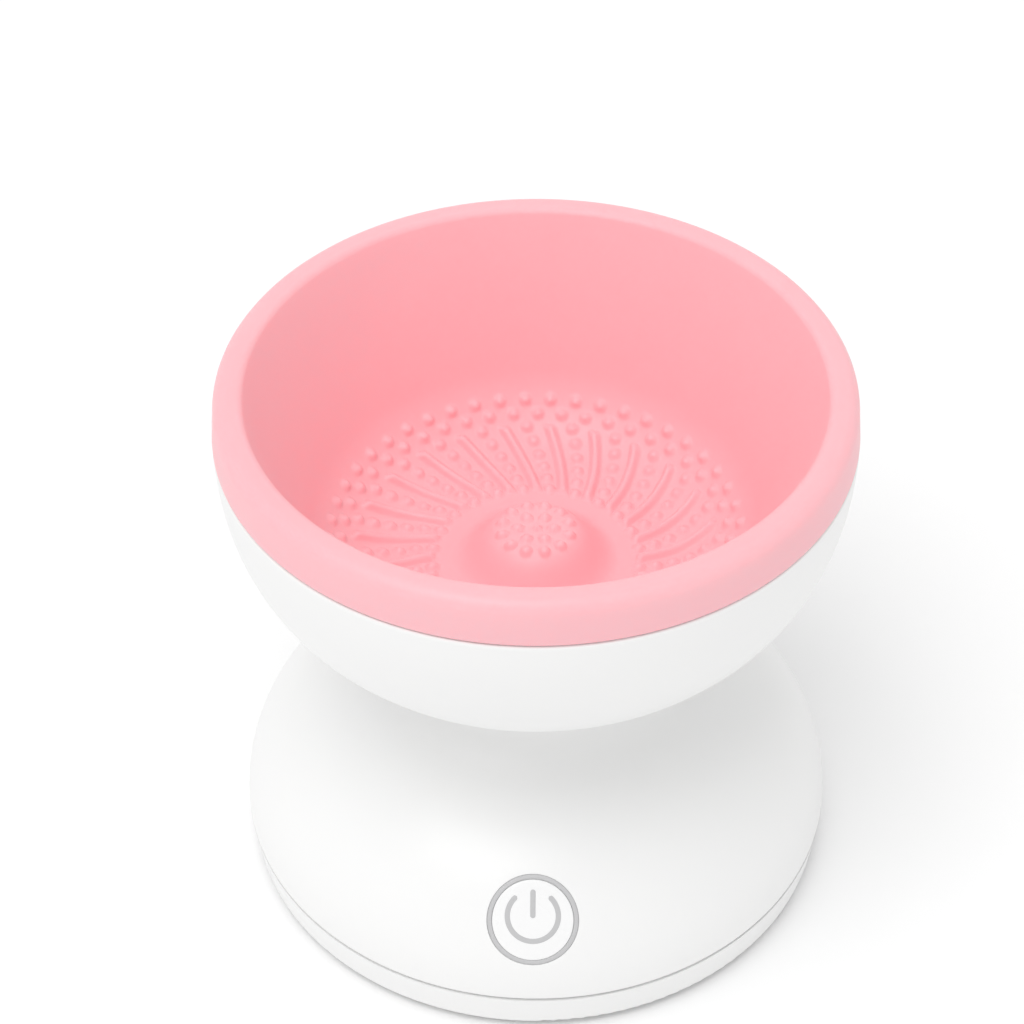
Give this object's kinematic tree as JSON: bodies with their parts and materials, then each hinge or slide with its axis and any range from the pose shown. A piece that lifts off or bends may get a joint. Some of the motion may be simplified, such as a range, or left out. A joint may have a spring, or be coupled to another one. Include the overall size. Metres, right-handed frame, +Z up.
{
  "type": "make-up brush cleaner",
  "caption": "Round make-up brush cleaner: a pink silicone cup spins in a waisted white bowl and base, with a push power button low on the front.",
  "frame": {"origin": "centre of the footprint, on the plane the feet stand on", "axes": "+Z up along the cup's spin axis; -Y is the front, with the power button; +Y is the rear, with the charging socket"},
  "size_m": [0.117, 0.117, 0.1118],
  "materials": {
    "white_abs": "moulded, fine satin gloss",
    "pink_silicone": "moulded silicone, soft satin",
    "button_abs": "moulded, satin",
    "symbol_grey": "second-shot inlay",
    "gasket_silicone": "soft translucent grey",
    "foot_rubber": "moulded rubber",
    "chassis_nylon": "glass-filled nylon, moulded",
    "gear_acetal": "moulded acetal",
    "shaft_steel": "ground",
    "screw_steel": "zinc plated",
    "bush_bronze": "sintered, oil filled",
    "seal_rubber": "nitrile",
    "motor_steel": "zinc plated can",
    "motor_nylon": "moulded",
    "magnet_ferrite": "sintered ferrite",
    "lamination_steel": "stamped stack",
    "winding_copper": "enamelled wire",
    "contact_brass": "tinned strip",
    "board_laminate": "solder mask",
    "chip_black": "moulded epoxy",
    "capacitor_aluminium": "drawn can",
    "header_nylon": "moulded",
    "lead_red": "extruded insulation",
    "lead_black": "extruded insulation"
  },
  "bodies": {
    "base": {"bowl_shell": "white_abs", "base_cover": "white_abs", "base_plate": "white_abs", "foot_pads": "foot_rubber", "base_screws": "screw_steel", "neck_screws": "screw_steel", "chassis_screws": "screw_steel", "gearbox_screws": "screw_steel", "motor_screws": "screw_steel", "board_screws": "screw_steel", "switch_board_screws": "screw_steel", "upper_bush": "bush_bronze", "lower_bush": "bush_bronze", "shaft_seal": "seal_rubber", "gear_chassis": "chassis_nylon", "gearbox_cover": "chassis_nylon", "idler_axle": "shaft_steel", "motor_can": "motor_steel", "motor_end_cap": "motor_nylon", "motor_magnets": "magnet_ferrite", "motor_terminals": "contact_brass", "motor_brushes": "contact_brass", "button_gasket": "gasket_silicone", "switch_body": "chip_black", "switch_board": "board_laminate", "control_board": "board_laminate", "usb_socket": "shaft_steel", "usb_tongue": "chip_black", "control_chip": "chip_black", "capacitors": "capacitor_aluminium", "wire_headers": "header_nylon", "motor_lead_red": "lead_red", "motor_lead_black": "lead_black", "switch_leads": "lead_black"},
    "spindle": {"drive_shaft": "shaft_steel", "drive_dog": "gear_acetal", "output_gear": "gear_acetal", "shaft_clip": "shaft_steel", "thrust_washer": "shaft_steel"},
    "idler": {"idler_gear": "gear_acetal"},
    "rotor": {"motor_shaft": "shaft_steel", "motor_armature": "lamination_steel", "motor_windings": "winding_copper", "motor_commutator": "contact_brass", "motor_pinion": "contact_brass"},
    "cup": {"washing_cup": "pink_silicone", "cup_hub": "gear_acetal"},
    "button": {"power_button": "button_abs", "power_symbol": "symbol_grey", "switch_plunger": "chip_black"}
  },
  "joints": [
    {"name": "drive_spin", "type": "hinge", "parent": "base", "child": "spindle", "pos_m": [0, 0, 0.05], "axis": [0, 0, 1], "continuous": true},
    {"name": "cup_lift", "type": "slide", "parent": "spindle", "child": "cup", "axis": [0, 0, 1], "range_m": [0, 0.06]},
    {"name": "idler_spin", "type": "hinge", "parent": "base", "child": "idler", "pos_m": [-0.01611, 0.0093, 0.028], "axis": [0, 0, 1], "continuous": true},
    {"name": "motor_spin", "type": "hinge", "parent": "base", "child": "rotor", "pos_m": [-0.01248, -0.00422, 0.015], "axis": [0, 0, 1], "continuous": true},
    {"name": "button_press", "type": "slide", "parent": "base", "child": "button", "axis": [0, 0.7614, -0.6483], "range_m": [0, 0.0008], "stiffness_N_per_m": 600}
  ],
  "couplings": [
    {"joint": "idler_spin", "follows": "drive_spin", "ratio": -3.4286},
    {"joint": "motor_spin", "follows": "drive_spin", "ratio": 10.286}
  ]
}
